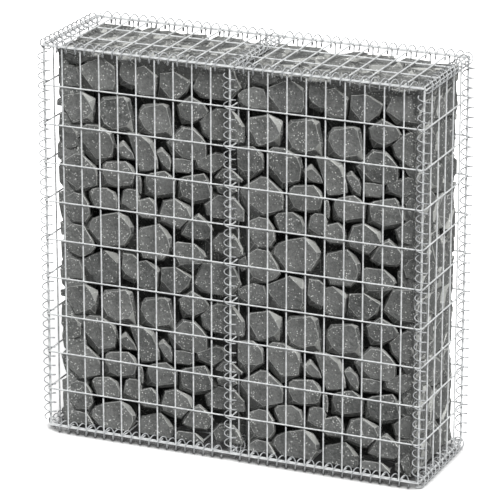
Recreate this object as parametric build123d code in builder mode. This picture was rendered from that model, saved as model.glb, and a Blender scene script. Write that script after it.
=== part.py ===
# Gabion wall: a welded wire basket in two bays, laced with spiral binders and filled with stone.
# The frame stands on the ground at the middle of its footprint: X along the wall, Y to the back, Z up.
from build123d import *
import math
import os

# Driving dimensions in millimetres, between the middles of the basket's edge wires
length = 1000
depth = 300
height = 1000

# Welded mesh: cells of 50 by 100 in square-drawn wire of the real wire's width
wire = 4
fine_pitch = 50
coarse_pitch = 100

# Spiral binders: left-handed springs that are screwed along each edge round both panels' edge wires
binder_outer_diameter = 32
binder_pitch = 25
binder_corner_gap = 19
runs_per_turn = 6
section_sides = 3
section_radius = 2
seat_gap = 0.05

# Stone fill: hand-laid stones stand out of a packed core, clear of the mesh but for the base
core_half_depth = 47
stone_face_gap = 18
stone_face_share = 0.86
thinnest_stone = 12
divider_gap = 5
divider_foot = 34
joint_half_width = 8
joint_depth = 30

# The stones in one square of the packed face, each as the corners of its girth. The pattern repeats,
# and its first square starts a little outside the lower left corner of the mesh.
stone_square = 500
first_square = (-14, -12)
stones_in_square = [
    [(44, -47), (122, -27), (134, -10), (102, 46), (69, 48), (40, 0)],
    [(102, 401), (192, 399), (201, 462), (192, 484), (157, 488), (98, 458)],
    [(206, 421), (238, 411), (250, 478), (235, 488), (208, 488)],
    [(250, 405), (301, 400), (312, 455), (302, 466), (252, 470)],
    [(308, 402), (362, 400), (399, 449), (352, 470), (314, 463)],
    [(430, 403), (490, 402), (530, 448), (510, 490), (424, 490), (400, 434)],
    [(18, 402), (97, 402), (92, 456), (62, 458), (18, 432)],
    [(48, 308), (130, 315), (138, 378), (103, 391), (47, 372)],
    [(150, 302), (240, 302), (233, 388), (215, 393), (147, 368)],
    [(255, 305), (345, 303), (338, 384), (322, 387), (257, 363)],
    [(371, 339), (402, 343), (444, 380), (393, 414), (358, 386)],
    [(425, 325), (470, 297), (537, 306), (538, 353), (505, 391), (465, 391)],
    [(345, 254), (430, 250), (438, 298), (403, 335), (370, 336), (328, 288)],
    [(20, 222), (47, 216), (90, 250), (87, 290), (60, 307), (8, 296)],
    [(100, 243), (137, 206), (184, 232), (186, 298), (142, 312), (98, 300)],
    [(197, 232), (246, 233), (243, 250), (213, 281), (188, 260)],
    [(256, 203), (308, 217), (308, 240), (292, 293), (222, 303)],
    [(318, 216), (340, 214), (345, 235), (316, 276), (299, 262)],
    [(352, 214), (392, 215), (402, 250), (347, 250)],
    [(404, 230), (455, 221), (492, 266), (470, 280), (404, 252)],
    [(27, 155), (50, 121), (141, 153), (138, 203), (88, 233), (24, 188)],
    [(153, 154), (237, 157), (246, 195), (240, 215), (220, 228), (155, 210)],
    [(249, 150), (260, 145), (258, 194), (248, 196)],
    [(270, 146), (348, 152), (356, 196), (325, 216), (272, 198)],
    [(360, 148), (448, 152), (452, 185), (430, 222), (362, 200)],
    [(455, 197), (532, 196), (533, 219), (500, 243), (478, 241)],
    [(436, 112), (538, 100), (537, 142), (508, 172), (466, 173), (429, 142)],
    [(118, 97), (195, 100), (198, 120), (165, 153), (116, 135)],
    [(46, 32), (108, 52), (121, 75), (100, 128), (75, 130), (48, 115)],
    [(205, 101), (238, 98), (256, 140), (250, 158), (210, 150)],
    [(250, 88), (302, 85), (305, 110), (282, 142), (252, 130)],
    [(307, 80), (365, 68), (399, 105), (394, 133), (351, 148), (319, 138)],
    [(366, 56), (388, 45), (440, 50), (455, 80), (415, 117)],
    [(455, 22), (515, 11), (537, 23), (524, 60), (482, 78), (449, 50)],
    [(106, 37), (135, 4), (214, 4), (239, 60), (196, 93), (125, 67)],
    [(248, 10), (262, -22), (318, -20), (342, 45), (308, 77), (250, 52)],
    [(350, -38), (395, -38), (436, 8), (404, 38), (347, 32)],
]

half_wire = wire / 2
binder_radius = binder_outer_diameter / 2 - section_radius / math.cos(math.pi / runs_per_turn)
lead_angle = math.atan(binder_pitch / (2 * math.pi * binder_radius))

# The basket stands on its lowest binders, so its bottom wires are half a binder above the ground
bottom = binder_outer_diameter / 2
top = bottom + height
middle_height = bottom + height / 2
left, right = -length / 2, length / 2
front, back = -depth / 2, depth / 2

# The front and back panels lie against the ends of the others, one wire further out
front_wires, back_wires = front - wire, back + wire

X, Y, Z = Vector(1, 0, 0), Vector(0, 1, 0), Vector(0, 0, 1)


def places(total, pitch):
    """The distances at which wires stand along a side, its two edges included."""
    return [pitch * step for step in range(round(total / pitch) + 1)]


def save(part, name):
    """Label a finished piece and write it as its own file."""
    part.label = name
    export_step(part, f"parts/{name}.step")


def welded_panel(name, plane, line_places, line_span, cross_places, cross_span):
    """Line wires run along the plane's Y, and cross wires lie on their outer side along its X."""
    line_ends = Plane(plane.from_local_coords((0, line_span[0], 0)), plane.x_dir, plane.y_dir)
    cross_ends = Plane(plane.from_local_coords((cross_span[0], 0, wire)), plane.y_dir, plane.x_dir)
    with BuildPart() as line_wires:
        with BuildSketch(line_ends):
            with Locations(*[(place, 0) for place in line_places]):
                Rectangle(wire, wire)
        extrude(amount=line_span[1] - line_span[0])
    with BuildPart() as cross_wires:
        with BuildSketch(cross_ends):
            with Locations(*[(place, 0) for place in cross_places]):
                Rectangle(wire, wire)
        extrude(amount=cross_span[1] - cross_span[0])
    save(Compound([*line_wires.solids(), *cross_wires.solids()]), name)


def spiral_binder(name, middle, outward, crossing, crossing_offset, reach):
    """A left-handed spring about an edge, with a turn resting on each wire that leaves the edge.

    outward points out of the basket, and crossing is the way that those wires go, their middles
    crossing_offset nearer the outside than the spring's axis. reach is half the spring's length.
    """
    axis = Plane(middle, outward, crossing.cross(outward))
    # Going round from outward to the crossing wire, the spring climbs by this much
    quarter_turn = math.pi / 2 - math.asin(crossing_offset / binder_radius)
    climb = binder_pitch * quarter_turn / (2 * math.pi)
    seat = half_wire * (1 + math.tan(lead_angle)) + section_radius / math.cos(lead_angle) + seat_gap
    shift = seat - climb
    first = math.ceil((-reach - shift) * runs_per_turn / binder_pitch)
    last = math.floor((reach - shift) * runs_per_turn / binder_pitch)

    route = []
    for step in range(first, last + 1):
        angle = -2 * math.pi * step / runs_per_turn
        along = shift + binder_pitch * step / runs_per_turn
        across = (binder_radius * math.cos(angle), binder_radius * math.sin(angle), along)
        route.append(axis.from_local_coords(across))

    start_angle = -2 * math.pi * first / runs_per_turn
    away_from_axis = axis.x_dir * math.cos(start_angle) + axis.y_dir * math.sin(start_angle)
    with BuildPart() as binder:
        with BuildLine():
            Polyline(*route)
        with BuildSketch(Plane(route[0], away_from_axis, route[1] - route[0])):
            RegularPolygon(section_radius, section_sides)
        sweep(transition=Transition.RIGHT)
    save(binder.part, name)


def outer_stone(corners, girth, face):
    """A stone that narrows from its girth, with these corners on one plane, to its face on another."""
    middle = sum((Vector(*corner) for corner in corners), Vector()) / len(corners)
    face_corners = [middle + (Vector(*corner) - middle) * stone_face_share for corner in corners]
    return ConvexPolyhedron(
        [girth.from_local_coords(corner) for corner in corners]
        + [face.from_local_coords(corner) for corner in face_corners]
    )


def stone_fill(name, bay_left, bay_right, end, divider):
    """The packed stone of one bay, which rests on the base: outer stones stand out of a core."""
    fill_bottom, fill_top = bottom + half_wire, top - stone_face_gap
    girth = Plane((0, -core_half_depth, 0), X, -Y)
    face = Plane((0, front + stone_face_gap, 0), X, -Y)

    # The pattern's stones that reach into this bay, each held within the bay's limits
    outer_stones = []
    last_column = bay_left // stone_square * stone_square
    for column in (last_column - stone_square, last_column):
        for row in range(3):
            for corners in stones_in_square:
                held = [
                    (
                        min(max(column + first_square[0] + x, bay_left), bay_right),
                        min(max(bottom + row * stone_square + first_square[1] + z, fill_bottom), fill_top),
                    )
                    for x, z in corners
                ]
                width = max(x for x, z in held) - min(x for x, z in held)
                rise = max(z for x, z in held) - min(z for x, z in held)
                if min(width, rise) > thinnest_stone:
                    outer_stones.append(outer_stone(list(dict.fromkeys(held)), girth, face))

    with BuildPart() as fill:
        with BuildSketch(girth):
            with Locations(((bay_left + bay_right) / 2, (fill_bottom + fill_top) / 2)):
                Rectangle(bay_right - bay_left, fill_top - fill_bottom)
            # The joints between the core's own stones, where they show at the end and the top
            with Locations(*[(end, bottom + place) for place in places(height, coarse_pitch)[1:-1]]):
                Polygon(
                    (-joint_depth, 0), (0, -joint_half_width), (joint_depth, 0), (0, joint_half_width),
                    mode=Mode.SUBTRACT,
                )
            steps = places(length / 2, coarse_pitch)[1:-1]
            with Locations(*[(math.copysign(step, end), fill_top) for step in steps]):
                Polygon(
                    (-joint_half_width, 0), (0, -joint_depth), (joint_half_width, 0), (0, joint_depth),
                    mode=Mode.SUBTRACT,
                )
        extrude(amount=-core_half_depth)
        add(outer_stones)

        # The foot beside the divider clears the binder that laces the divider to the base
        with BuildSketch(Plane.XZ):
            with Locations((divider, fill_bottom)):
                Rectangle(divider_foot, divider_foot, rotation=45)
        extrude(amount=-front, mode=Mode.SUBTRACT)

        # The back of the bay is laid like the front
        mirror(about=Plane.XZ)
    save(fill.part, name)


os.makedirs("parts", exist_ok=True)

# Front and back: upright wires every 50, level wires every 100 on their outer side
long_span = (-half_wire, length + half_wire)
tall_span = (-half_wire, height + half_wire)
for name, plane in {
    "front_panel": Plane((left, front_wires, bottom), X, -Y),
    "back_panel": Plane((right, back_wires, bottom), -X, Y),
}.items():
    welded_panel(
        name, plane,
        places(length, fine_pitch), tall_span,
        places(height, coarse_pitch), long_span,
    )

# Ends and divider: they stand on the base wires and reach up to the lid wires
deep_span = (-half_wire, depth + half_wire)
standing_span = (half_wire, height - half_wire)
end_levels = [wire, *places(height, coarse_pitch)[1:-1], height - wire]
for name, plane in {
    "left_end_panel": Plane((left, back, bottom), -Y, -X),
    "right_end_panel": Plane((right, front, bottom), Y, X),
    "divider_panel": Plane((0, front, bottom), Y, X),
}.items():
    welded_panel(
        name, plane,
        places(depth, fine_pitch), standing_span,
        end_levels, deep_span,
    )

# Lid and base: long wires every 100, and short wires every 50 on their outer side
for name, plane in {
    "lid_panel": Plane((left, back, top), -Y, Z),
    "base_panel": Plane((left, front, bottom), Y, -Z),
}.items():
    welded_panel(
        name, plane,
        places(depth, coarse_pitch), long_span,
        places(length, fine_pitch), deep_span,
    )

# Upright binders at the corners and the divider: each turn rests on top of the level wires
tall_reach = height / 2 - binder_corner_gap
for name, x, y, outward, crossing in (
    ("front_left_corner_binder", left, front_wires, -X, Y),
    ("front_middle_binder", 0, front_wires, -Y, -X),
    ("front_right_corner_binder", right, front_wires, -Y, -X),
    ("back_left_corner_binder", left, back_wires, Y, X),
    ("back_middle_binder", 0, back_wires, Y, X),
    ("back_right_corner_binder", right, back_wires, X, -Y),
):
    spiral_binder(name, Vector(x, y, middle_height), outward, crossing, wire, tall_reach)

# Level binders round the lid and the base, the long ones in two halves
bay_reach = length / 4 - binder_corner_gap
deep_reach = depth / 2
for level_name, level, outward in (("lid", top, Z), ("base", bottom, -Z)):
    for side, y, crossing in (("front", front_wires, Y), ("back", back_wires, -Y)):
        for bay, x in (("left", left / 2), ("right", right / 2)):
            name = f"{level_name}_{side}_{bay}_binder"
            spiral_binder(name, Vector(x, y, level), outward, crossing, wire, bay_reach)
    for place, x, crossing in (("left_end", left, X), ("middle", 0, X), ("right_end", right, -X)):
        name = f"{level_name}_{place}_binder"
        spiral_binder(name, Vector(x, 0, level), outward, crossing, 0, deep_reach)

# Stone fill: the divider's level wires stand on its right side
left_end, right_end = left + stone_face_gap, right - stone_face_gap
stone_fill("stone_fill_left_bay", left_end, -divider_gap, left_end, -divider_gap)
stone_fill("stone_fill_right_bay", divider_gap + wire, right_end, right_end, divider_gap + wire)
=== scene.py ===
"""Gabion wall: two bays of welded galvanised mesh, laced with spiral binders and filled with basalt."""

import enum
import itertools
import logging
import math
import random
from collections.abc import Callable, Iterable, Sequence
from dataclasses import dataclass, field, replace

import bmesh
import bpy
from mathutils import Matrix, Vector


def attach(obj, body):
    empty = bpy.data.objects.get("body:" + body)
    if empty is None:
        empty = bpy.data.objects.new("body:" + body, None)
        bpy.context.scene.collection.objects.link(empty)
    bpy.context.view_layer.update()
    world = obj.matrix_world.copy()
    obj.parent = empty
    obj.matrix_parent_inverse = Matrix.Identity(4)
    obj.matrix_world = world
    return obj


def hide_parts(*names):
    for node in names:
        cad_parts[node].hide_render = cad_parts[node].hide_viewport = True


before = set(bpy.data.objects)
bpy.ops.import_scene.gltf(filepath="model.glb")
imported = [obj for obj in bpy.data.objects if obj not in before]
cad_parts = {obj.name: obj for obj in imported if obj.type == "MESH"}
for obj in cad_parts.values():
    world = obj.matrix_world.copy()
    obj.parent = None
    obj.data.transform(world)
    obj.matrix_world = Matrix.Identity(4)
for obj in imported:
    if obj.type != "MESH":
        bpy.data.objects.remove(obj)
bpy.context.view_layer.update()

logging.basicConfig(level=logging.INFO, format="%(message)s")
LOG = logging.getLogger("gabion_wall")

BODY = "root"
MM_PER_M = 1000

X = Vector((1, 0, 0))
Y = Vector((0, 1, 0))
Z = Vector((0, 0, 1))

# Basket sizes in metres, between the middles of its edge wires, as in the part's source
LENGTH = 1.0
DEPTH = 0.3
HEIGHT = 1.0
WIRE = 0.004
FINE_PITCH = 0.05
COARSE_PITCH = 0.1
LEFT = -LENGTH / 2
RIGHT = LENGTH / 2
FRONT = -DEPTH / 2
BACK = DEPTH / 2
BOTTOM = 0.016
TOP = BOTTOM + HEIGHT
MIDDLE_HEIGHT = BOTTOM + HEIGHT / 2

# Where the camera stands in the frame, its tilt from level and its turn from facing the front
CAMERA_POINT = Vector((3.22613, -7.50476, 3.23325))
CAMERA_TILT = math.radians(90 - 18.479)
CAMERA_TURN = math.radians(23.344)
CAMERA_LENS = 248.9
CAMERA_SENSOR = 36.0

# The side that the light comes from: slanting facets that face it are painted paler, a painted light
PAINTED_LIGHT_SIDE = Vector((0.8, 0.0, 0.6))

Outline = Sequence[tuple[float, float, float]]
Place = Callable[[float, float, float], Vector]
Inputs = dict[str | int, object]
Floats = tuple[float, ...]


class Slot(enum.Enum):
    """Names of the material slots."""

    MESH_WIRE = "galvanised_mesh_wire"
    BINDER_WIRE = "galvanised_binder_wire"
    STONE = "quarry_stone"


class Bay(enum.Enum):
    """The basket's two bays, each side of the divider."""

    LEFT = "left"
    RIGHT = "right"


class Layer(enum.Enum):
    """The rows of stones in a bay: three from front to back, and those laid at its end and on its top."""

    FRONT = "front"
    MIDDLE = "middle"
    BACK = "back"
    END = "end"
    TOP = "top"


def linear(hex_colour: str) -> tuple[float, float, float, float]:
    """Turn an sRGB hex colour into a linear one.

    Args:
        hex_colour: Six hex digits, red first.

    Returns:
        Linear red, green and blue, and an alpha of one.
    """
    shares = [int(hex_colour[place:place + 2], 16) / 255 for place in (0, 2, 4)]
    red, green, blue = (s / 12.92 if s <= 0.04045 else ((s + 0.055) / 1.055) ** 2.4 for s in shares)
    return (red, green, blue, 1.0)


def per_metre(size_mm: float) -> float:
    """Give the texture scale at which one cell of a pattern is size_mm wide on Object coordinates."""
    return MM_PER_M / size_mm


def add_node(
    tree: bpy.types.NodeTree, kind: str, inputs: Inputs | None = None, **settings: object
) -> bpy.types.NodeOutputs:
    """Add a node, with its settings made before its inputs are set or linked.

    Args:
        tree: The tree that takes the node.
        kind: The node's type name.
        inputs: What goes into its sockets, by name or place: a value, or a socket to link from.
        **settings: The node's own properties.

    Returns:
        The new node's outputs.
    """
    node = tree.nodes.new(kind)
    for name, value in settings.items():
        setattr(node, name, value)
    for key, value in (inputs or {}).items():
        if isinstance(value, bpy.types.NodeSocket):
            tree.links.new(value, node.inputs[key])
        else:
            node.inputs[key].default_value = value
    return node.outputs


def new_object(name: str, data: bpy.types.ID) -> bpy.types.Object:
    """Put a new object into the scene.

    Args:
        name: The object's name.
        data: Its mesh, light or camera.

    Returns:
        The object.
    """
    made = bpy.data.objects.new(name, data)
    bpy.context.scene.collection.objects.link(made)
    return made


def empty_material(name: str) -> bpy.types.Material:
    """Make a material with nothing in its node tree.

    Args:
        name: The material's name.

    Returns:
        The material.
    """
    made = bpy.data.materials.new(name)
    made.use_nodes = True
    made.node_tree.nodes.clear()
    return made


def seen_rays(tree: bpy.types.NodeTree) -> bpy.types.NodeSocket:
    """Tell rays that show a thing itself, to the camera, in gloss or through glass, from all others.

    Args:
        tree: The tree that takes the nodes.

    Returns:
        A socket that is one for such a ray and otherwise zero.
    """
    rays = add_node(tree, "ShaderNodeLightPath")
    seen = rays["Is Camera Ray"]
    for kind in ("Is Glossy Ray", "Is Transmission Ray"):
        seen = add_node(tree, "ShaderNodeMath", {0: seen, 1: rays[kind]}, operation="MAXIMUM")[0]
    return seen


def plane_matrix(origin: Vector, x_dir: Vector, z_dir: Vector) -> Matrix:
    """Give the matrix that lays local X, Y and Z along a plane's directions.

    Args:
        origin: Where the local origin goes.
        x_dir: Where local X points.
        z_dir: Where local Z points, square to x_dir.

    Returns:
        The matrix from local to frame coordinates.
    """
    matrix = Matrix((x_dir, z_dir.cross(x_dir), z_dir)).transposed().to_4x4()
    matrix.translation = origin
    return matrix


class NodeTool:
    """A Geometry Nodes tree with named inputs, which makes finished plain meshes."""

    def __init__(self, name: str, sizes: Sequence[str], counts: Sequence[str] = ()) -> None:
        """Start the tree with its inputs, the last of them for a material.

        Args:
            name: The tree's name.
            sizes: The names of its sizes.
            counts: The names of its whole numbers.
        """
        self.tree = bpy.data.node_groups.new(name, "GeometryNodeTree")
        for way in ("INPUT", "OUTPUT"):
            self.tree.interface.new_socket("Geometry", in_out=way, socket_type="NodeSocketGeometry")
        self.identifiers: dict[str, str] = {}
        kinds = {**dict.fromkeys(sizes, "Float"), **dict.fromkeys(counts, "Int"), "Material": "Material"}
        for value, kind in kinds.items():
            socket = self.tree.interface.new_socket(value, in_out="INPUT", socket_type=f"NodeSocket{kind}")
            self.identifiers[value] = socket.identifier
        self.inputs = add_node(self.tree, "NodeGroupInput")

    def node(self, kind: str, inputs: Inputs | None = None, **settings: object) -> bpy.types.NodeOutputs:
        """Add a node to the tree as add_node does."""
        return add_node(self.tree, kind, inputs, **settings)

    def wire_section(self) -> tuple[bpy.types.NodeSocket, bpy.types.NodeSocket]:
        """Work out a wire from its diameter and its number of sides.

        Returns:
            The wire's radius and its round section.
        """
        radius = self.node("ShaderNodeMath", {0: self.inputs["Wire Diameter"], 1: 0.5}, operation="MULTIPLY")
        section = self.node(
            "GeometryNodeCurvePrimitiveCircle", {"Resolution": self.inputs["Sides"], "Radius": radius[0]}
        )
        return radius[0], section["Curve"]

    def end(self, geometry: bpy.types.NodeSocket) -> None:
        """Realize the instances, set the material and close the tree.

        Args:
            geometry: The socket that carries the shape.
        """
        realized = self.node("GeometryNodeRealizeInstances", {"Geometry": geometry})[0]
        dressed = self.node(
            "GeometryNodeSetMaterial", {"Geometry": realized, "Material": self.inputs["Material"]}
        )[0]
        self.node("NodeGroupOutput", {"Geometry": dressed})

    def make(
        self, name: str, values: dict[str, object], start: bpy.types.Mesh | None = None
    ) -> bpy.types.Object:
        """Run the tree once and keep its result as a plain mesh.

        Args:
            name: The new piece's name.
            values: A value for each named input.
            start: The mesh that the tree works on, where it takes one.

        Returns:
            The piece, at the origin and with no modifier.
        """
        piece = new_object(name, start or bpy.data.meshes.new(name))
        modifier = piece.modifiers.new(self.tree.name, "NODES")
        modifier.node_group = self.tree
        for size, value in values.items():
            modifier[self.identifiers[size]] = value
        bpy.context.view_layer.update()
        evaluated = piece.evaluated_get(bpy.context.evaluated_depsgraph_get())
        mesh = bpy.data.meshes.new_from_object(evaluated)
        piece.modifiers.remove(modifier)
        piece.data = mesh
        mesh.name = name
        return piece


def settle(piece: bpy.types.Object, slot: Slot, *nodes: str) -> None:
    """Put a finished piece on its body in place of its CAD nodes, and report it.

    Args:
        piece: The finished piece.
        slot: The material slot that it stands for; not used.
        *nodes: The CAD nodes that it stands for.
    """
    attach(piece, BODY)
    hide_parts(*nodes)
    LOG.info("%s: %d faces in place of %s", piece.name, len(piece.data.polygons), ", ".join(nodes))


@dataclass(frozen=True)
class GalvanisedWire:
    """Hot-dipped galvanised steel wire: a zinc skin, dull and faintly mottled by its cooling."""

    name: str
    bright: str
    dull: str
    metallic: float
    roughness: float
    mottle_mm: float = 9.0
    grain_mm: float = 1.2
    grain_depth: float = 0.0001

    def material(self) -> bpy.types.Material:
        """Make the zinc, paler and darker in soft patches that give the eye its hand-dipped look.

        Returns:
            The material.
        """
        made = empty_material(self.name)
        tree = made.node_tree
        place = add_node(tree, "ShaderNodeTexCoord")["Object"]
        mottle = add_node(
            tree, "ShaderNodeTexNoise", {"Vector": place, "Scale": per_metre(self.mottle_mm), "Detail": 3.0}
        )["Fac"]
        patches = add_node(
            tree, "ShaderNodeMapRange", {"Value": mottle, "From Min": 0.38, "From Max": 0.62}
        )["Result"]
        colour = add_node(
            tree, "ShaderNodeMix",
            {0: patches, 6: linear(self.dull), 7: linear(self.bright)},
            data_type="RGBA",
        )[2]
        sheen = add_node(
            tree, "ShaderNodeMapRange",
            {"Value": patches, "To Min": self.roughness + 0.12, "To Max": self.roughness},
        )["Result"]
        grain = add_node(
            tree, "ShaderNodeTexNoise", {"Vector": place, "Scale": per_metre(self.grain_mm), "Detail": 2.0}
        )["Fac"]
        bump = add_node(
            tree, "ShaderNodeBump", {"Height": grain, "Strength": 0.5, "Distance": self.grain_depth}
        )["Normal"]
        shader = add_node(
            tree, "ShaderNodeBsdfPrincipled",
            {
                "Base Color": colour, "Metallic": self.metallic, "Roughness": sheen,
                "Specular IOR Level": 0.1, "Normal": bump,
            },
        )["BSDF"]
        add_node(tree, "ShaderNodeOutputMaterial", {"Surface": shader})
        return made


@dataclass(frozen=True)
class SplitBasalt:
    """Basalt split in a quarry: rough broken faces with crystals and worn edges, some paler at random, and
    painted light on the facets that face the light.
    """

    name: str = "basalt_split_at_the_quarry"
    fresh: str = "7A7B7A"
    deep: str = "3E403F"
    # A pale colour, mixed in at random and as painted light on facets that face the light
    pale_weathered_and_painted_light: str = "B2B3AF"
    worn: str = "C0C1BE"
    crystal: str = "DADBD8"
    cloud_mm: float = 38.0
    grain_mm: float = 7.0
    crystal_mm: float = 6.0
    pit_depth: float = 0.0032
    grain_share: float = 3.6
    tone_share: float = 0.45

    def material(self) -> bpy.types.Material:
        """Make the stone, its tone set by each stone's and each facet's own attributes, the facet's paleness
        in part painted light.

        Returns:
            The material.
        """
        made = empty_material(self.name)
        tree = made.node_tree
        place = add_node(tree, "ShaderNodeTexCoord")["Object"]
        tone, weather_and_light_paleness, wear = (
            add_node(tree, "ShaderNodeAttribute", attribute_name=mark)["Fac"]
            for mark in (RubbleMesh.TONE, RubbleMesh.WEATHERING_AND_PAINTED_LIGHT, RubbleMesh.WORN_EDGE)
        )

        # Soft clouds and fine grain vary the broken stone
        clouds, grain = (
            add_node(
                tree, "ShaderNodeTexNoise",
                {"Vector": place, "Scale": per_metre(size), "Detail": 4.0, "Roughness": roughness},
            )["Fac"]
            for size, roughness in ((self.cloud_mm, 0.6), (self.grain_mm, 0.8))
        )
        shade = clouds
        for part, share in ((grain, self.grain_share), (tone, self.tone_share)):
            shade = add_node(
                tree, "ShaderNodeMath", {0: part, 1: share, 2: shade}, operation="MULTIPLY_ADD"
            )[0]
        freshness = add_node(
            tree, "ShaderNodeMapRange", {"Value": shade, "From Min": 1.75, "From Max": 3.25}
        )["Result"]

        # Worn edges are paler where the grain stands proud
        rubbed = add_node(tree, "ShaderNodeMath", {0: wear, 1: grain}, operation="MULTIPLY")[0]

        # Pale crystals show in patches where the break has opened them
        cells = add_node(
            tree, "ShaderNodeTexVoronoi", {"Vector": place, "Scale": per_metre(self.crystal_mm)}
        )["Distance"]
        specks = add_node(
            tree, "ShaderNodeMapRange", {"Value": cells, "From Min": 0.34, "From Max": 0.16}
        )["Result"]
        fields = add_node(
            tree, "ShaderNodeTexNoise",
            {"Vector": place, "Scale": per_metre(self.cloud_mm / 2), "Detail": 2.0, "Distortion": 0.4},
        )["Fac"]
        fields = add_node(
            tree, "ShaderNodeMapRange", {"Value": fields, "From Min": 0.47, "From Max": 0.55}
        )["Result"]
        crystals = add_node(tree, "ShaderNodeMath", {0: specks, 1: fields}, operation="MULTIPLY")[0]

        # Each facet is mixed towards the pale colour by its paleness: at random on square faces, and as
        # painted light on slanting facets that face the light
        stone: object = linear(self.deep)
        for share, colour in (
            (freshness, self.fresh), (weather_and_light_paleness, self.pale_weathered_and_painted_light), (rubbed, self.worn), (crystals, self.crystal)
        ):
            stone = add_node(
                tree, "ShaderNodeMix", {0: share, 6: stone, 7: linear(colour)}, data_type="RGBA"
            )[2]

        rough = add_node(tree, "ShaderNodeMath", {0: grain, 1: clouds}, operation="ADD")[0]
        bump = add_node(
            tree, "ShaderNodeBump", {"Height": rough, "Strength": 1.0, "Distance": self.pit_depth}
        )["Normal"]
        shader = add_node(
            tree, "ShaderNodeBsdfPrincipled",
            {"Base Color": stone, "Roughness": 0.82, "Specular IOR Level": 0.35, "Normal": bump},
        )["BSDF"]
        add_node(tree, "ShaderNodeOutputMaterial", {"Surface": shader})
        return made


@dataclass(frozen=True)
class WhiteSweep:
    """Matt white studio paper, seen white, with a soft dark contact shadow close to what stands on it."""

    name: str = "matt_white_paper"
    white: str = "F4F4F4"
    contact: str = "262626"
    bounce: str = "505050"
    contact_reach: float = 0.13
    lift: float = 0.93

    def material(self) -> bpy.types.Material:
        """Make the paper, which throws back less light than it shows, as a distant sweep does.

        Returns:
            The material.
        """
        made = empty_material(self.name)
        tree = made.node_tree
        seen = seen_rays(tree)
        openness = add_node(
            tree, "ShaderNodeAmbientOcclusion", {"Distance": self.contact_reach}, samples=12
        )["AO"]
        openness = add_node(
            tree, "ShaderNodeMapRange", {"Value": openness, "From Min": 0.30, "From Max": 0.94}
        )["Result"]
        paper = add_node(
            tree, "ShaderNodeMix",
            {0: openness, 6: linear(self.contact), 7: linear(self.white)},
            data_type="RGBA",
        )[2]
        colour = add_node(
            tree, "ShaderNodeMix", {0: seen, 6: linear(self.bounce), 7: paper}, data_type="RGBA"
        )[2]
        lift = add_node(tree, "ShaderNodeMath", {0: seen, 1: self.lift}, operation="MULTIPLY")[0]
        shader = add_node(
            tree, "ShaderNodeBsdfPrincipled",
            {
                "Base Color": colour, "Roughness": 0.95, "Specular IOR Level": 0.0,
                "Emission Color": paper, "Emission Strength": lift,
            },
        )["BSDF"]
        add_node(tree, "ShaderNodeOutputMaterial", {"Surface": shader})
        return made


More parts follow.
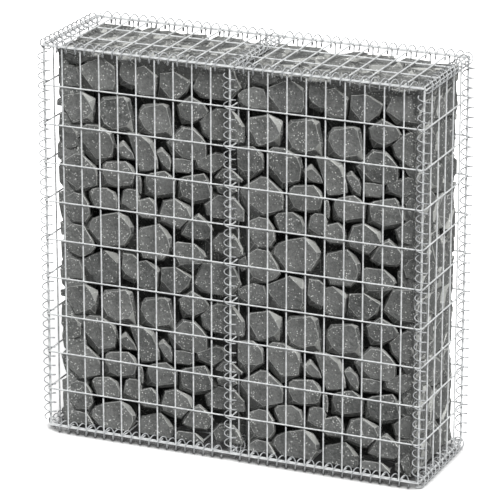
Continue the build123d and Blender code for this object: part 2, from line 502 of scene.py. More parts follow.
@dataclass
class WeldedPanels:
    """The seven panels of welded mesh: level wires welded across upright ones, a fused bead at each."""

    finish: bpy.types.Material
    sides: int = 12
    weld_width: float = 0.0052
    weld_flatness: float = 0.55
    weld_segments: int = 8
    weld_rings: int = 4
    tool: NodeTool = field(init=False)

    def __post_init__(self) -> None:
        """Build the tree that makes a panel."""
        spans = [f"{kind} {size}" for kind in ("Line", "Cross") for size in ("Pitch", "Start", "End")]
        sizes = (*spans, "End Shift", "Wire Diameter", "Weld Width")
        self.tool = NodeTool("welded_mesh_panel", sizes, ("Line Count", "Cross Count", "Sides"))
        self.build_tree()

    def build_tree(self) -> None:
        """Lay wires on two rows of points, with a bead wherever they cross."""
        tool, size = self.tool, self.tool.inputs
        radius, section = tool.wire_section()

        # The rows of points that the wires start from, the outermost cross wires moved inwards
        rows = {}
        for kind, axis in (("Line", "X"), ("Cross", "Y")):
            step = tool.node("ShaderNodeCombineXYZ", {axis: size[f"{kind} Pitch"]})[0]
            row = {"Count": size[f"{kind} Count"], "Offset": step}
            rows[kind] = tool.node("GeometryNodeMeshLine", row)[0]
        place = tool.node("GeometryNodeInputIndex")[0]
        last = tool.node("ShaderNodeMath", {0: size["Cross Count"], 1: 1.0}, operation="SUBTRACT")[0]
        is_first, is_last = (
            tool.node("ShaderNodeMath", {0: place, 1: number, 2: 0.5}, operation="COMPARE")[0]
            for number in (0.0, last)
        )
        inwards = tool.node("ShaderNodeMath", {0: is_first, 1: is_last}, operation="SUBTRACT")[0]
        shift = tool.node("ShaderNodeMath", {0: inwards, 1: size["End Shift"]}, operation="MULTIPLY")[0]
        shift = tool.node("ShaderNodeCombineXYZ", {"Y": shift})[0]
        rows["Cross"] = tool.node("GeometryNodeSetPosition", {"Geometry": rows["Cross"], "Offset": shift})[0]

        # One wire of each kind, the cross wire lying on the outer side of the line wires
        wires = []
        for kind, axis, height in (("Line", "Y", 0.0), ("Cross", "X", size["Wire Diameter"])):
            start = tool.node("ShaderNodeCombineXYZ", {axis: size[f"{kind} Start"], "Z": height})[0]
            end = tool.node("ShaderNodeCombineXYZ", {axis: size[f"{kind} End"], "Z": height})[0]
            run = tool.node("GeometryNodeCurvePrimitiveLine", {"Start": start, "End": end})[0]
            wire = tool.node(
                "GeometryNodeCurveToMesh", {"Curve": run, "Profile Curve": section, "Fill Caps": True}
            )[0]
            wires.append(
                tool.node("GeometryNodeInstanceOnPoints", {"Points": rows[kind], "Instance": wire})[0]
            )

        # A flattened bead of fused steel sits between the two wires of each crossing
        crossings = tool.node(
            "GeometryNodeInstanceOnPoints", {"Points": rows["Cross"], "Instance": rows["Line"]}
        )[0]
        crossings = tool.node("GeometryNodeRealizeInstances", {"Geometry": crossings})[0]
        between = tool.node("ShaderNodeCombineXYZ", {"Z": radius})[0]
        crossings = tool.node("GeometryNodeSetPosition", {"Geometry": crossings, "Offset": between})[0]
        bead_radius = tool.node("ShaderNodeMath", {0: size["Weld Width"], 1: 0.5}, operation="MULTIPLY")[0]
        bead = tool.node(
            "GeometryNodeMeshUVSphere",
            {"Segments": self.weld_segments, "Rings": self.weld_rings, "Radius": bead_radius},
        )["Mesh"]
        beads = tool.node(
            "GeometryNodeInstanceOnPoints",
            {"Points": crossings, "Instance": bead, "Scale": (1.0, 1.0, self.weld_flatness)},
        )[0]
        joined = tool.node("GeometryNodeJoinGeometry", {"Geometry": wires[0]})
        for more in (wires[1], beads):
            tool.tree.links.new(more, joined[0].node.inputs[0])
        smooth = tool.node("GeometryNodeRealizeInstances", {"Geometry": joined[0]})[0]
        smooth = tool.node("GeometryNodeSetShadeSmooth", {"Geometry": smooth})[0]
        tool.end(smooth)

    def panel(
        self,
        name: str,
        plane: Matrix,
        line: tuple[int, float, float, float],
        cross: tuple[int, float, float, float],
        end_shift: float,
    ) -> None:
        """Make a panel in place of its node.

        Args:
            name: The node's name.
            plane: The panel's plane: line wires along Y, cross wires along X on its outer side.
            line: The line wires' count, pitch, start and end.
            cross: The cross wires' count, pitch, start and end.
            end_shift: How far the first and last cross wires stand in from their places.
        """
        values: dict[str, object] = {
            "End Shift": end_shift, "Wire Diameter": WIRE, "Weld Width": self.weld_width,
            "Sides": self.sides, "Material": self.finish,
        }
        for kind, sizes in (("Line", line), ("Cross", cross)):
            for size, value in zip(("Count", "Pitch", "Start", "End"), sizes):
                values[f"{kind} {size}"] = value
        piece = self.tool.make(f"{name}_wires", values)
        piece.data.transform(plane)
        settle(piece, Slot.MESH_WIRE, name)

    def build(self) -> None:
        """Make all seven panels."""
        half = WIRE / 2
        uprights, levels = round(LENGTH / FINE_PITCH) + 1, round(HEIGHT / COARSE_PITCH) + 1
        deep_lines, across = round(DEPTH / FINE_PITCH) + 1, round(DEPTH / COARSE_PITCH) + 1
        faces = (uprights, FINE_PITCH, -half, HEIGHT + half), (levels, COARSE_PITCH, -half, LENGTH + half)
        ends = (deep_lines, FINE_PITCH, half, HEIGHT - half), (levels, COARSE_PITCH, -half, DEPTH + half)
        # The lid and base: long wires inside, and short ones across them on the outer side
        covers = (across, COARSE_PITCH, -half, LENGTH + half), (uprights, FINE_PITCH, -half, DEPTH + half)
        for name, origin, x_dir, z_dir, (line, cross), end_shift in (
            ("front_panel", (LEFT, FRONT - WIRE, BOTTOM), X, -Y, faces, 0.0),
            ("back_panel", (RIGHT, BACK + WIRE, BOTTOM), -X, Y, faces, 0.0),
            ("left_end_panel", (LEFT, BACK, BOTTOM), -Y, -X, ends, WIRE),
            ("right_end_panel", (RIGHT, FRONT, BOTTOM), Y, X, ends, WIRE),
            ("divider_panel", (0, FRONT, BOTTOM), Y, X, ends, WIRE),
            ("lid_panel", (LEFT, BACK, TOP), -Y, Z, covers, 0.0),
            ("base_panel", (LEFT, FRONT, BOTTOM), Y, -Z, covers, 0.0),
        ):
            self.panel(name, plane_matrix(Vector(origin), x_dir, z_dir), line, cross, end_shift)


@dataclass
class SpiralBinders:
    """The left-handed springs that lace each edge, a turn resting on each wire that leaves the edge."""

    finish: bpy.types.Material
    wire: float = 0.003
    mean_radius: float = 0.01445
    pitch: float = 0.025
    seat_gap: float = 0.00005
    corner_gap: float = 0.019
    segments: int = 24
    sides: int = 6
    tool: NodeTool = field(init=False)

    def __post_init__(self) -> None:
        """Build the tree that makes a binder."""
        sizes = ("Mean Radius", "Wire Diameter", "Turns", "Height", "Start Angle", "Start Height")
        self.tool = NodeTool("spiral_binder", sizes, ("Segments", "Sides"))
        self.build_tree()

    def build_tree(self) -> None:
        """Wind one spiral about local Z and sweep the wire along it."""
        tool, size = self.tool, self.tool.inputs
        coil = tool.node(
            "GeometryNodeCurveSpiral",
            {
                "Resolution": size["Segments"], "Rotations": size["Turns"],
                "Start Radius": size["Mean Radius"], "End Radius": size["Mean Radius"],
                "Height": size["Height"], "Reverse": False,
            },
        )[0]
        turn = tool.node("ShaderNodeCombineXYZ", {"Z": size["Start Angle"]})[0]
        rise = tool.node("ShaderNodeCombineXYZ", {"Z": size["Start Height"]})[0]
        coil = tool.node(
            "GeometryNodeTransform", {"Geometry": coil, "Translation": rise, "Rotation": turn}
        )[0]
        _, section = tool.wire_section()
        spring = tool.node(
            "GeometryNodeCurveToMesh", {"Curve": coil, "Profile Curve": section, "Fill Caps": True}
        )[0]
        spring = tool.node("GeometryNodeSetShadeSmooth", {"Geometry": spring})[0]
        tool.end(spring)

    def binder(
        self, name: str, middle: Vector, outward: Vector, crossing: Vector, offset: float, reach: float
    ) -> None:
        """Make one binder in place of its node.

        Args:
            name: The node's name.
            middle: The middle of the spring's axis.
            outward: The way out of the basket.
            crossing: The way that the wires go which leave the edge.
            offset: How much nearer the outside those wires' middles are than the spring's axis.
            reach: Half the spring's length.
        """
        lead = math.atan(self.pitch / (2 * math.pi * self.mean_radius))
        quarter_turn = math.pi / 2 - math.asin(offset / self.mean_radius)
        climb = self.pitch * quarter_turn / (2 * math.pi)
        seat = WIRE / 2 * (1 + math.tan(lead)) + self.wire / 2 / math.cos(lead) + self.seat_gap
        first_turn = (climb - seat - reach) / self.pitch
        values = {
            "Mean Radius": self.mean_radius, "Wire Diameter": self.wire,
            "Turns": 2 * reach / self.pitch, "Height": 2 * reach,
            "Start Angle": -2 * math.pi * first_turn, "Start Height": -reach,
            "Segments": self.segments, "Sides": self.sides, "Material": self.finish,
        }
        piece = self.tool.make(f"{name}_spring", values)
        piece.data.transform(plane_matrix(middle, outward, crossing.cross(outward)))
        settle(piece, Slot.BINDER_WIRE, name)

    def build(self) -> None:
        """Make every binder of the basket."""
        front, back = FRONT - WIRE, BACK + WIRE
        tall = HEIGHT / 2 - self.corner_gap
        for name, x, y, outward, crossing in (
            ("front_left_corner", LEFT, front, -X, Y),
            ("front_middle", 0.0, front, -Y, -X),
            ("front_right_corner", RIGHT, front, -Y, -X),
            ("back_left_corner", LEFT, back, Y, X),
            ("back_middle", 0.0, back, Y, X),
            ("back_right_corner", RIGHT, back, X, -Y),
        ):
            middle = Vector((x, y, MIDDLE_HEIGHT))
            self.binder(f"{name}_binder", middle, outward, crossing, WIRE, tall)
        long = LENGTH / 4 - self.corner_gap
        for level, z, outward in (("lid", TOP, Z), ("base", BOTTOM, -Z)):
            for side, y, crossing in (("front", front, Y), ("back", back, -Y)):
                for bay, x in (("left", LEFT / 2), ("right", RIGHT / 2)):
                    middle = Vector((x, y, z))
                    self.binder(f"{level}_{side}_{bay}_binder", middle, outward, crossing, WIRE, long)
            for name, x, crossing in (("left_end", LEFT, X), ("middle", 0.0, X), ("right_end", RIGHT, -X)):
                middle = Vector((x, 0.0, z))
                self.binder(f"{level}_{name}_binder", middle, outward, crossing, 0.0, DEPTH / 2)


# Outlines of the stones in one 500 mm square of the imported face, seen through the front mesh, in
# millimetres from its lower left corner. The third number is how far in from the outline that corner
# of the stone's flat face lies, so it sets how broad the facets beside it are.
TILE = 500.0
STONE_OUTLINES: tuple[Outline, ...] = (
    ((46, 30, 3), (69, 48, 3), (102, 46, 4), (127, 13, 6), (134, -10, 4), (122, -27, 4), (96, -41, 4),
     (44, -47, 26), (40, -5, 5)),
    ((98, 458, 3), (130, 475, 2), (157, 488, 2), (192, 484, 22), (201, 462, 12), (200, 420, 10),
     (192, 399, 10), (133, 399, 3), (102, 401, 28), (97, 440, 4)),
    ((208, 488, 3), (235, 488, 3), (250, 478, 3), (248, 420, 4), (238, 411, 14), (206, 421, 16),
     (203, 447, 2)),
    ((250, 470, 3), (270, 478, 3), (302, 466, 16), (312, 455, 10), (308, 425, 8), (301, 400, 6),
     (262, 398, 4), (248, 405, 3)),
    ((312, 463, 3), (352, 470, 2), (392, 455, 10), (399, 449, 6), (391, 432, 10), (385, 418, 6),
     (362, 400, 4), (340, 398, 4), (308, 402, 24), (309, 430, 4)),
    ((424, 490, 4), (470, 497, 4), (510, 490, 5), (515, 472, 4), (530, 448, 4), (518, 434, 6),
     (498, 418, 8), (490, 402, 12), (430, 403, 16), (400, 434, 5)),
    ((18, 432, 3), (30, 443, 3), (62, 458, 4), (92, 456, 8), (98, 430, 4), (97, 402, 4), (60, 398, 4),
     (28, 399, 12), (18, 412, 8)),
    ((47, 372, 3), (52, 378, 3), (103, 391, 3), (138, 378, 22), (138, 345, 8), (130, 315, 20),
     (75, 306, 3), (48, 308, 24), (46, 350, 4)),
    ((147, 368, 4), (158, 384, 9), (215, 393, 4), (233, 388, 14), (243, 335, 9), (240, 302, 24),
     (185, 300, 6), (150, 302, 20), (146, 340, 5)),
    ((257, 363, 4), (268, 378, 9), (322, 387, 4), (338, 384, 12), (350, 330, 9), (345, 303, 20),
     (290, 300, 6), (255, 305, 22), (253, 345, 4)),
    ((358, 386, 4), (372, 398, 3), (393, 414, 3), (432, 398, 4), (444, 380, 5), (440, 368, 4),
     (402, 343, 6), (371, 339, 18), (362, 360, 6)),
    ((418, 352, 4), (440, 376, 4), (465, 391, 4), (505, 391, 5), (520, 378, 9), (538, 353, 9),
     (537, 306, 6), (500, 298, 6), (470, 297, 5), (448, 304, 8), (425, 325, 6)),
    ((328, 288, 5), (350, 312, 4), (370, 336, 7), (403, 335, 7), (425, 316, 5), (438, 298, 4),
     (438, 262, 5), (420, 248, 5), (372, 250, 5), (345, 254, 20)),
    ((8, 296, 3), (15, 300, 3), (60, 307, 3), (70, 302, 4), (87, 290, 9), (91, 272, 5), (90, 250, 4),
     (75, 236, 10), (47, 216, 30), (20, 222, 24), (8, 250, 10)),
    ((98, 300, 3), (112, 311, 3), (142, 312, 4), (186, 298, 14), (191, 268, 6), (184, 232, 4),
     (153, 224, 4), (137, 206, 18), (100, 243, 16), (96, 268, 3)),
    ((188, 260, 6), (213, 281, 14), (243, 250, 6), (246, 233, 4), (222, 231, 4), (197, 232, 14)),
    ((222, 303, 4), (255, 303, 4), (292, 293, 16), (298, 262, 6), (308, 240, 5), (308, 217, 4),
     (285, 208, 4), (256, 203, 5), (247, 230, 4), (236, 262, 4)),
    ((299, 262, 5), (316, 276, 12), (340, 256, 6), (345, 235, 5), (340, 214, 5), (318, 216, 14),
     (306, 240, 8)),
    ((345, 250, 3), (372, 254, 3), (402, 250, 3), (402, 225, 4), (392, 215, 4), (352, 214, 4),
     (344, 232, 4)),
    ((402, 252, 8), (440, 262, 5), (450, 273, 4), (462, 280, 5), (478, 278, 6), (492, 266, 8),
     (488, 252, 6), (475, 236, 5), (455, 221, 5), (430, 226, 12), (404, 230, 14)),
    ((24, 188, 3), (27, 196, 3), (50, 212, 4), (80, 233, 4), (97, 232, 3), (138, 203, 8),
     (143, 180, 4), (141, 153, 4), (97, 138, 3), (90, 128, 10), (50, 121, 36), (27, 158, 20)),
    ((155, 210, 4), (165, 221, 5), (220, 228, 3), (240, 215, 10), (246, 195, 5), (240, 170, 5),
     (237, 157, 14), (185, 154, 6), (153, 154, 20), (152, 190, 4)),
    ((246, 196, 3), (258, 194, 3), (263, 170, 3), (260, 145, 3), (247, 150, 3)),
    ((272, 198, 4), (285, 205, 3), (325, 216, 3), (343, 205, 8), (356, 196, 6), (354, 160, 6),
     (348, 152, 12), (300, 142, 8), (270, 146, 18), (268, 180, 5)),
    ((362, 200, 4), (375, 208, 4), (430, 222, 3), (440, 212, 6), (452, 185, 8), (455, 160, 6),
     (448, 152, 12), (402, 138, 10), (360, 148, 16), (358, 175, 8)),
    ((453, 208, 4), (462, 222, 4), (478, 241, 4), (500, 243, 4), (520, 229, 4), (533, 219, 5),
     (536, 203, 5), (530, 196, 5), (470, 195, 4), (457, 197, 4)),
    ((429, 142, 5), (447, 157, 4), (466, 173, 4), (508, 172, 5), (520, 157, 4), (537, 142, 4),
     (538, 102, 4), (500, 98, 6), (468, 104, 8), (448, 108, 8), (436, 116, 6)),
    ((116, 135, 3), (125, 146, 3), (165, 153, 3), (190, 143, 8), (198, 120, 6), (195, 100, 4),
     (160, 95, 4), (130, 96, 4), (118, 118, 8)),
    ((48, 115, 3), (75, 130, 3), (100, 128, 4), (118, 105, 6), (121, 75, 4), (108, 52, 6), (75, 50, 4),
     (46, 32, 34), (43, 80, 8)),
    ((210, 150, 4), (222, 158, 3), (252, 158, 4), (258, 140, 4), (252, 105, 4), (238, 98, 5),
     (205, 101, 16), (202, 115, 5)),
    ((250, 130, 3), (282, 142, 3), (300, 133, 9), (305, 110, 7), (302, 85, 5), (262, 84, 4),
     (248, 92, 4)),
    ((307, 103, 5), (319, 138, 5), (351, 148, 3), (394, 133, 14), (399, 105, 6), (380, 85, 5),
     (365, 68, 5), (340, 70, 8), (305, 80, 12)),
    ((402, 108, 4), (415, 117, 8), (440, 100, 6), (455, 80, 6), (445, 55, 5), (436, 48, 6),
     (388, 45, 8), (366, 56, 5), (370, 75, 14), (385, 95, 6)),
    ((449, 50, 4), (468, 73, 4), (482, 78, 4), (507, 76, 5), (524, 60, 7), (533, 42, 7), (537, 23, 5),
     (515, 11, 5), (485, 12, 8), (455, 22, 8)),
    ((117, 57, 3), (125, 67, 4), (150, 80, 3), (196, 93, 3), (224, 83, 20), (239, 60, 12),
     (237, 38, 8), (226, 24, 6), (214, 4, 5), (150, -4, 5), (135, 4, 12), (106, 37, 12)),
    ((250, 52, 4), (256, 60, 4), (290, 72, 3), (308, 77, 3), (330, 62, 12), (342, 45, 12),
     (343, 20, 8), (335, 0, 6), (318, -20, 5), (262, -22, 5), (248, 10, 5)),
    ((347, 32, 4), (358, 37, 3), (404, 38, 3), (430, 20, 8), (436, 8, 5), (425, -15, 6),
     (395, -38, 20), (350, -38, 22), (343, 8, 5)),
    ((22, 12, 3), (40, 24, 3), (46, 10, 3), (44, -12, 3), (30, -20, 3), (22, -8, 3)),
    ((460, 192, 3), (466, 176, 3), (480, 172, 3), (505, 176, 3), (520, 186, 4), (515, 196, 4),
     (480, 197, 4)),
)


@dataclass
class RubbleMesh:
    """Collects stones as loose faces, each face with its tone, its paleness from weather and painted light,
    and its edge wear.
    """

    TONE = "stone_tone"
    WEATHERING_AND_PAINTED_LIGHT = "weathering_and_painted_light"
    WORN_EDGE = "worn_edge"

    points: list[Vector] = field(default_factory=list)
    faces: list[list[int]] = field(default_factory=list)
    marks: dict[str, list[float]] = field(default_factory=dict)

    def add(self, stone: bmesh.types.BMesh, tone: float) -> None:
        """Add a finished stone.

        Args:
            stone: The stone, with its paleness from weather and painted light, and its edge wear, in face
                layers.
            tone: How pale the whole stone is, from 0 to 1.
        """
        start = len(self.points)
        stone.verts.index_update()
        self.points.extend(vertex.co.copy() for vertex in stone.verts)
        layers = {name: stone.faces.layers.float[name] for name in (self.WEATHERING_AND_PAINTED_LIGHT, self.WORN_EDGE)}
        for face in stone.faces:
            self.faces.append([start + vertex.index for vertex in face.verts])
            self.marks.setdefault(self.TONE, []).append(tone)
            for name, layer in layers.items():
                self.marks.setdefault(name, []).append(face[layer])

    def mesh(self, name: str) -> bpy.types.Mesh:
        """Give all the stones as one mesh.

        Args:
            name: The mesh's name.

        Returns:
            The mesh, with its marks as face attributes.
        """
        made = bpy.data.meshes.new(name)
        made.from_pydata(self.points, [], self.faces)
        for mark, values in self.marks.items():
            made.attributes.new(mark, "FLOAT", "FACE").data.foreach_set("value", values)
        return made


def hull(points: Iterable[Vector]) -> bmesh.types.BMesh:
    """Wrap points in their convex hull.

    Args:
        points: The points.

    Returns:
        The hull.
    """
    shape = bmesh.new()
    for point in points:
        shape.verts.new(point)
    bmesh.ops.convex_hull(shape, input=shape.verts)
    inside = [vertex for vertex in shape.verts if not vertex.link_faces]
    bmesh.ops.delete(shape, geom=inside, context="VERTS")
    return shape


@dataclass(frozen=True)
class Cut:
    """A plane that trims a stone, keeping what lies behind its normal."""

    point: Vector
    normal: Vector

    def trim(self, points: list[Vector]) -> list[Vector]:
        """Trim a convex stone.

        Args:
            points: The corners of the stone.

        Returns:
            The corners of what is left, or none where nothing is.
        """
        if all((point - self.point).dot(self.normal) <= 0 for point in points):
            return points
        if all((point - self.point).dot(self.normal) >= 0 for point in points):
            return []
        shape = hull(points)
        geometry = [*shape.verts, *shape.edges, *shape.faces]
        bmesh.ops.bisect_plane(
            shape, geom=geometry, plane_co=self.point, plane_no=self.normal, clear_outer=True
        )
        kept = [vertex.co.copy() for vertex in shape.verts]
        shape.free()
        return kept


@dataclass(frozen=True)
class Bed:
    """How one bed of stones is laid: the side it lies against, its depths, and where its tiles start.

    Each depth is measured behind the outermost faces on that side: where the bed's own faces are, where
    its stones are broadest and where they end. The lean is how far a face may tip, as a slope, and the
    spread is how much broader than its outline a stone is.
    """

    place: Place
    faces: float
    girth: float
    ends: float
    lean: float
    spread: float
    columns: Floats
    rows: Floats


@dataclass
class StoneFill:
    """The basalt: hand-laid stones with a flat face out on every side of a bay, and rubble inside them."""

    finish: bpy.types.Material
    seed: int = 11

    # The depths of the laid stones behind the mesh or their faces, and how broad and tipped they are
    face_depth: float = 0.018
    girth_depth: float = 0.030
    row_depth: float = 0.085
    wedged_girth: float = 0.014
    wedged_depth: float = 0.028
    laid_lean: float = 0.08
    laid_spread: float = 1.015

    # The same for the middle row and for the stones on the ends and the top, where its second bed sinks
    middle_half: float = 0.044
    middle_spread: float = 1.10
    slab_girth: float = 0.013
    slab_depth: float = 0.052
    slab_lean: float = 0.22
    slab_spread: float = 0.985
    second_bed: float = 0.006

    # Where each bed's tiles start, across and up, from the bay's first corner or the middle of the side
    middle_tiles: tuple[tuple[Floats, Floats], ...] = (
        ((-0.363, 0.137), (-0.439, 0.061, 0.561)), ((-0.113, 0.387), (-0.239, 0.261, 0.761)),
    )
    end_tiles: tuple[tuple[Floats, Floats], ...] = (
        ((-0.243,), (-0.211, 0.289, 0.789)), ((-0.371, 0.129), (-0.438, 0.062, 0.562)),
    )
    top_tiles: tuple[tuple[Floats, Floats], ...] = (
        ((-0.181, 0.319), (-0.271,)), ((-0.404, 0.096), (-0.398, 0.102)),
    )

    # What differs between stones: how far faces stand back, in millimetres, and shares of other sizes
    face_tip: float = 3.0
    most_tip: float = 9.0
    girth_shares: Floats = (0.85, 1.15)
    back_shares: Floats = (0.70, 0.82)

    # How far past the divider, in millimetres, a stone reaches that is wedged in it
    straddle: float = 3.0

    # The fill's limits, and how a row's stones narrow from them away from their own side
    end_limits: Floats = (0.475, 0.481)
    side_limit: float = 0.135
    top_face: float = 1.007
    floor_limit: float = 0.0195
    middle_recess: float = 0.03
    corner_depth: float = 0.004
    corner_play: float = 0.002
    narrowing: float = 0.45
    divider_left: float = -0.005
    divider_right: float = 0.009
    binder_clearance: float = 0.0172
    wire_clearance: float = 0.0035

    # How pale a facet is, by how it faces: at random where it is square to an axis, reaching higher on top
    # faces; painted light where it slants towards the light, painted shade where it slants away
    squareness: float = 0.9
    top_paleness: Floats = (0.0, 0.22)
    end_paleness: Floats = (0.0, 0.1)
    front_paleness: Floats = (0.0, 0.12)
    painted_light_slant: float = 0.2
    painted_light_paleness: Floats = (0.55, 1.0)
    painted_shade_paleness: Floats = (0.0, 0.1)

    # The broken surface: worn edges, the fineness that carries its roughness, and the roughness itself
    smallest_stone: float = 0.009
    flat_angle: float = math.radians(7)
    sharp_angle: float = math.radians(24)
    edge_wear: float = 0.0013
    longest_edge: float = 0.012
    hidden_edge: float = 0.05
    seen_end: float = 0.02
    seen_top: float = 0.025
    most_halvings: int = 5
    swell: float = 0.0024
    swell_size: float = 0.028
    chip: float = 0.0024
    chip_size: float = 0.008
    tool: NodeTool = field(init=False)

    def __post_init__(self) -> None:
        """Build the tree that roughens the broken faces."""
        self.tool = NodeTool("broken_stone_faces", ("Swell", "Swell Size", "Chip", "Chip Size"))
        self.build_tree()

    def build_tree(self) -> None:
        """Push the faces in and out by a broad and a fine noise."""
        tool, size = self.tool, self.tool.inputs
        normal = tool.node("GeometryNodeInputNormal")[0]
        place = tool.node("GeometryNodeInputPosition")[0]
        pushes = []
        for reach, width in (("Swell", "Swell Size"), ("Chip", "Chip Size")):
            scale = tool.node("ShaderNodeMath", {0: 1.0, 1: size[width]}, operation="DIVIDE")[0]
            noise = tool.node("ShaderNodeTexNoise", {"Vector": place, "Scale": scale, "Detail": 2.0})[0]
            centred = tool.node("ShaderNodeMath", {0: noise, 1: 0.5}, operation="SUBTRACT")[0]
            pushes.append(tool.node("ShaderNodeMath", {0: centred, 1: size[reach]}, operation="MULTIPLY")[0])
        push = tool.node("ShaderNodeMath", {0: pushes[0], 1: pushes[1]}, operation="ADD")[0]
        offset = tool.node("ShaderNodeVectorMath", {0: normal, 3: push}, operation="SCALE")[0]
        moved = tool.node("GeometryNodeSetPosition", {"Geometry": tool.inputs["Geometry"], "Offset": offset})
        smooth = tool.node("GeometryNodeSetShadeSmooth", {"Geometry": moved[0]})[0]
        tool.end(smooth)

    def at_front(self, x: float, z: float, depth: float) -> Vector:
        """Find the point behind the front mesh that the camera sees at a point of the mesh.

        Args:
            x: Where the point of the mesh is, across.
            z: How high it is.
            depth: How far the point is behind the faces of the front row.

        Returns:
            The point.
        """
        on_mesh = Vector((x, FRONT, z))
        sight = on_mesh - CAMERA_POINT
        return on_mesh + sight * ((self.face_depth + depth) / sight.y)

    def at_back(self, x: float, z: float, depth: float) -> Vector:
        """Give the same place at the back, which is laid like the front."""
        point = self.at_front(x, z, depth)
        return Vector((point.x, -point.y, point.z))

    def at_middle(self, x: float, z: float, depth: float) -> Vector:
        """Give a place on the stones between the front and back rows."""
        return Vector((x, depth - self.middle_half, z))

    def at_left_end(self, y: float, z: float, depth: float) -> Vector:
        """Give a place on the stones laid against the left end."""
        return Vector((depth - self.end_limits[0], -y, z))

    def at_right_end(self, y: float, z: float, depth: float) -> Vector:
        """Give a place on the stones laid against the right end."""
        return Vector((self.end_limits[1] - depth, y, z))

    def at_top(self, x: float, y: float, depth: float) -> Vector:
        """Give a place on the stones laid under the lid."""
        return Vector((x, y, self.top_face - depth))

    def beds(self, bay: Bay, layer: Layer) -> list[Bed]:
        """Say how the stones of one row lie.

        Args:
            bay: The bay.
            layer: The row.

        Returns:
            The row's beds. All but the front and back rows have two, which close each other's gaps.
        """
        left = bay is Bay.LEFT
        start, tile = LEFT if left else 0.0, TILE / MM_PER_M
        if layer in (Layer.FRONT, Layer.BACK):
            place = self.at_front if layer is Layer.FRONT else self.at_back
            columns = (LEFT - tile, LEFT) if left else (0.0,)
            rows = (BOTTOM, BOTTOM + tile, BOTTOM + 2 * tile)
            shape = (self.girth_depth, self.row_depth, self.laid_lean, self.laid_spread)
            return [Bed(place, 0.0, *shape, columns, rows)]
        slab = (self.slab_girth, self.slab_depth, self.slab_lean, self.slab_spread)
        middle = (self.middle_half, 2 * self.middle_half, self.laid_lean, self.middle_spread)
        at_end = self.at_left_end if left else self.at_right_end
        place, corner, tiles, sinks, (girth, ends, lean, spread) = {
            Layer.MIDDLE: (self.at_middle, (start, BOTTOM), self.middle_tiles, (0.0, 0.0), middle),
            Layer.END: (at_end, (0.0, BOTTOM), self.end_tiles, (0.0, self.second_bed), slab),
            Layer.TOP: (self.at_top, (start, 0.0), self.top_tiles, (0.0, self.second_bed), slab),
        }[layer]
        return [
            Bed(
                place, sink, sink + girth, sink + ends, lean, spread,
                tuple(corner[0] + x for x in columns), tuple(corner[1] + y for y in rows),
            )
            for sink, (columns, rows) in zip(sinks, tiles)
        ]

    def laid_stone(
        self, outline: Outline, corner: tuple[float, float], bed: Bed, chance: random.Random
    ) -> list[Vector]:
        """Give the corners of a stone that shows its flat face on one side of the fill.

        Args:
            outline: The stone's outline and the insets of its face.
            corner: Where the tile's first corner is on that side.
            bed: How its bed is laid.
            chance: The source of the small differences between stones.

        Returns:
            The corners of the flat face, of the girth and of the back.
        """
        middle = Vector((sum(x for x, _, _ in outline), sum(z for _, z, _ in outline))) / len(outline)
        lean = Vector([chance.uniform(-bed.lean, bed.lean) for _ in range(2)])
        shrink = chance.uniform(*self.back_shares)
        corners = []
        # Every other corner of the outline runs through to the back
        for number, (x, z, inset) in enumerate(outline):
            edge = middle + (Vector((x, z)) - middle) * bed.spread
            face = edge + (middle - edge).normalized() * inset
            tip = min(max(self.face_tip + lean.dot(face - middle), 0.0), self.most_tip)
            girth = bed.girth * chance.uniform(*self.girth_shares)
            rings = [(face, bed.faces + tip / MM_PER_M), (edge, girth)]
            if number % 2 == 0:
                rings.append((middle + (edge - middle) * shrink, bed.ends))
            for point, depth in rings:
                across, along = (start + share / MM_PER_M for start, share in zip(corner, point))
                corners.append(bed.place(across, along, depth))
        return corners

    def outer_cuts(self, layer: Layer, bay: Bay, chance: random.Random) -> list[Cut]:
        """Choose the planes that square a stone off where it would reach past the fill.

        Next to its own side a stone reaches the other sides too, and it narrows away from them further
        in, so that it closes the corner without showing in the joints round it.

        Args:
            layer: The row that the stone lies in.
            bay: The bay that it lies in.
            chance: The source of their small differences.

        Returns:
            The planes.
        """
        end, reach = (-X, self.end_limits[0]) if bay is Bay.LEFT else (X, self.end_limits[1])
        limits = {
            Layer.END: (end, reach), Layer.FRONT: (-Y, self.side_limit),
            Layer.BACK: (Y, self.side_limit), Layer.TOP: (Z, self.top_face),
        }
        if layer is Layer.MIDDLE:
            return [Cut(out * (limit - self.middle_recess), out) for out, limit in limits.values()]
        own, own_limit = limits[layer]
        cuts = [Cut(own * own_limit, own)]
        for out, limit in limits.values():
            if out.dot(own) == 0.0:
                edge = out * (limit - chance.uniform(0.0, self.corner_play))
                corner = own * (own_limit - self.corner_depth) + edge
                cuts.append(Cut(corner, (out - own * self.narrowing).normalized()))
        return cuts

    def inner_cuts(self, bay: Bay, opening: int | None) -> list[Cut]:
        """Give the planes that keep a stone off the base, the divider and the binders that lace it.

        Args:
            bay: The bay that the stone lies in.
            opening: For a stone wedged in the divider, which opening it is in; otherwise None.

        Returns:
            The planes.
        """
        cuts = [Cut(Vector((0, 0, self.floor_limit)), -Z)]
        way = X if bay is Bay.LEFT else -X
        if opening is not None:
            lower = BOTTOM + COARSE_PITCH * opening
            upper = min(lower + COARSE_PITCH - self.wire_clearance, TOP - self.binder_clearance)
            lower = max(lower + self.wire_clearance, BOTTOM + self.binder_clearance)
            cuts.append(Cut(Vector((0, 0, lower)), -Z))
            cuts.append(Cut(Vector((0, 0, upper)), Z))
        else:
            face = self.divider_left if bay is Bay.LEFT else self.divider_right
            cuts.append(Cut(Vector((face, 0, 0)), way))
            for level, side in ((BOTTOM, -Z), (TOP, Z)):
                slope = (way + side).normalized()
                cuts.append(Cut(Vector((0, 0, level)) - slope * self.binder_clearance, slope))
        return cuts

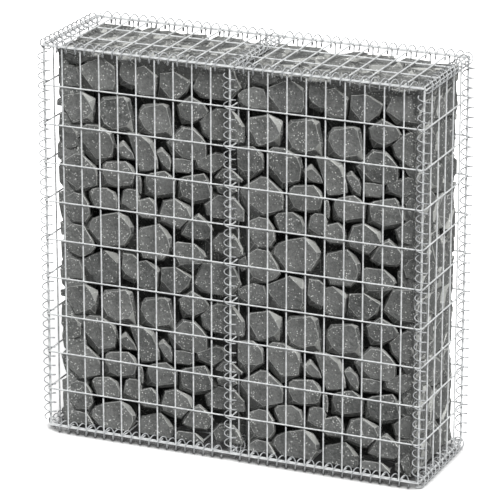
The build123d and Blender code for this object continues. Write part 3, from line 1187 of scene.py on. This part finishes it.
    def carve(self, corners: list[Vector], chance: random.Random) -> bmesh.types.BMesh:
        """Turn a stone's corners into its worn, diced shape.

        Args:
            corners: The stone's corners.
            chance: The source of its facets' paleness.

        Returns:
            The stone, with its marks in face layers.
        """
        stone = hull(corners)
        bmesh.ops.dissolve_limit(
            stone, angle_limit=self.flat_angle, verts=stone.verts[:], edges=stone.edges[:]
        )
        stone.normal_update()
        weather_and_light_paleness = stone.faces.layers.float.new(RubbleMesh.WEATHERING_AND_PAINTED_LIGHT)
        wear = stone.faces.layers.float.new(RubbleMesh.WORN_EDGE)
        # Facets slanting towards the light are painted paler, a painted light, and those slanting away are
        # kept dark, a painted shade; square faces get a paleness at random
        for face in stone.faces:
            across, along, up = face.normal
            if up > self.squareness:
                paleness_range = self.top_paleness
            elif abs(across) > self.squareness:
                paleness_range = self.end_paleness
            elif abs(along) > self.squareness:
                paleness_range = self.front_paleness
            elif face.normal.dot(PAINTED_LIGHT_SIDE) > self.painted_light_slant:
                paleness_range = self.painted_light_paleness
            else:
                paleness_range = self.painted_shade_paleness
            face[weather_and_light_paleness] = chance.uniform(*paleness_range)
        worn = bmesh.ops.bevel(
            stone, geom=stone.edges[:], offset=self.edge_wear, segments=1, affect="EDGES", clamp_overlap=True
        )
        for face in worn["faces"]:
            face[wear] = 1.0
        bmesh.ops.triangulate(stone, faces=stone.faces[:])
        for _ in range(self.most_halvings):
            long_edges = [edge for edge in stone.edges if self.is_long(edge)]
            if not long_edges:
                break
            bmesh.ops.subdivide_edges(stone, edges=long_edges, cuts=1)
            bmesh.ops.triangulate(stone, faces=stone.faces[:])
        return stone

    def is_long(self, edge: bmesh.types.BMEdge) -> bool:
        """Say whether an edge is long enough to be divided, more finely where it can be seen.

        Args:
            edge: An edge of a stone.

        Returns:
            Whether it is.
        """
        middle = (edge.verts[0].co + edge.verts[1].co) / 2
        outside = (
            abs(middle.x) > self.end_limits[0] - self.seen_end
            or middle.z > self.top_face - self.seen_top
            or abs(middle.y) > -FRONT - self.face_depth - self.girth_depth
        )
        return edge.calc_length() > (self.longest_edge if outside else self.hidden_edge)

    def lay(self, bay: Bay, layer: Layer) -> None:
        """Lay one row of stones in one bay, as one piece.

        Args:
            bay: The bay.
            layer: The row.
        """
        chance = random.Random(f"{self.seed} {bay.value} {layer.value}")
        rubble = RubbleMesh()
        for bed in self.beds(bay, layer):
            for column, row, outline in itertools.product(bed.columns, bed.rows, STONE_OUTLINES):
                laid, opening = bed, None
                straddles = layer in (Layer.FRONT, Layer.BACK) and column == LEFT
                if straddles and max(x for x, _, _ in outline) > TILE + self.straddle:
                    # Wedged in one opening of the divider
                    middle = row + sum(z for _, z, _ in outline) / len(outline) / MM_PER_M - BOTTOM
                    opening = math.floor(middle / COARSE_PITCH)
                    laid = replace(bed, girth=self.wedged_girth, ends=self.wedged_depth)
                corners = self.laid_stone(outline, (column, row), laid, chance)
                cuts = (*self.inner_cuts(bay, opening), *self.outer_cuts(layer, bay, chance))
                self.trim_and_add(rubble, corners, cuts, chance)
        name = f"{bay.value}_bay_{layer.value}_stones"
        values = {
            "Swell": self.swell, "Swell Size": self.swell_size, "Chip": self.chip,
            "Chip Size": self.chip_size, "Material": self.finish,
        }
        piece = self.tool.make(name, values, rubble.mesh(name))
        piece.data.set_sharp_from_angle(angle=self.sharp_angle)
        settle(piece, Slot.STONE, f"stone_fill_{bay.value}_bay")

    def trim_and_add(
        self, rubble: RubbleMesh, corners: list[Vector], cuts: Iterable[Cut], chance: random.Random
    ) -> None:
        """Trim a stone, carve it and add it to its row, unless next to nothing of it is left.

        Args:
            rubble: The row's stones so far.
            corners: The stone's corners.
            cuts: The planes that trim it.
            chance: The source of the small differences between stones.
        """
        for cut in cuts:
            corners = cut.trim(corners)
            if not corners:
                return
        spans = [max(p[axis] for p in corners) - min(p[axis] for p in corners) for axis in range(3)]
        if min(spans) < self.smallest_stone:
            return
        stone = self.carve(corners, chance)
        rubble.add(stone, chance.random())
        stone.free()

    def build(self) -> None:
        """Lay every row in both bays."""
        for bay in Bay:
            for layer in Layer:
                self.lay(bay, layer)


@dataclass
class Studio:
    """A plain white studio: floor, soft key light from the upper right, even fill, and the camera."""

    floor_reach: float = 30.0
    farthest: float = 100.0
    key_strength: float = 5.0
    key_direction: Vector = field(default_factory=lambda: Vector((0.44, -0.52, 0.65)))
    key_softness: float = math.radians(26)
    fill_strength: float = 0.15

    def build(self) -> None:
        """Set up the whole studio."""
        bpy.context.scene.view_settings.view_transform = "Standard"
        self.camera()
        self.floor()
        self.key()
        self.world()

    def camera(self) -> None:
        """Stand the camera where the photograph was taken from."""
        data = bpy.data.cameras.new("camera")
        data.lens = CAMERA_LENS
        data.sensor_width = CAMERA_SENSOR
        data.clip_end = self.farthest
        camera = new_object("camera", data)
        camera.location = CAMERA_POINT
        camera.rotation_euler = (CAMERA_TILT, 0.0, CAMERA_TURN)
        bpy.context.scene.camera = camera

    def floor(self) -> None:
        """Lay the white floor."""
        reach = self.floor_reach
        mesh = bpy.data.meshes.new("floor")
        corners = [(-reach, -reach, 0.0), (reach, -reach, 0.0), (reach, reach, 0.0), (-reach, reach, 0.0)]
        mesh.from_pydata(corners, [], [(0, 1, 2, 3)])
        mesh.materials.append(WhiteSweep().material())
        floor = new_object("floor", mesh)

    def key(self) -> None:
        """Hang the soft key light."""
        data = bpy.data.lights.new("key", "SUN")
        data.energy = self.key_strength
        data.angle = self.key_softness
        lamp = new_object("key", data)
        lamp.rotation_mode = "QUATERNION"
        lamp.rotation_quaternion = self.key_direction.to_track_quat("Z", "Y")

    def world(self) -> None:
        """Fill the room with even light, and show it white to the camera, to gloss and through glass."""
        world = bpy.data.worlds.new("studio")
        bpy.context.scene.world = world
        world.use_nodes = True
        tree = world.node_tree
        tree.nodes.clear()
        seen = seen_rays(tree)
        strength = add_node(
            tree, "ShaderNodeMapRange", {"Value": seen, "To Min": self.fill_strength, "To Max": 1.0}
        )["Result"]
        light = add_node(
            tree, "ShaderNodeBackground", {"Color": linear("FFFFFF"), "Strength": strength}
        )["Background"]
        add_node(tree, "ShaderNodeOutputWorld", {"Surface": light})


def main() -> None:
    """Build the studio and dress every part of the gabion wall."""
    Studio().build()
    # Mesh wire is dipped after welding, so its zinc is thick and dull
    mesh_zinc = GalvanisedWire("zinc_dipped_after_welding", "D2D4D4", "B8BABB", 0.04, 0.50)
    # Binder wire is dipped and wiped before it is wound, so its zinc is thin and smooth; its colour is
    # darker than the mesh wire's, a painted shade for the shade on its thin strands
    binder_zinc = GalvanisedWire("spring_wire_zinc_with_painted_shade", "B4B6B7", "949698", 0.04, 0.42)
    WeldedPanels(mesh_zinc.material()).build()
    SpiralBinders(binder_zinc.material()).build()
    StoneFill(SplitBasalt().material()).build()


if __name__ == "__main__":
    main()
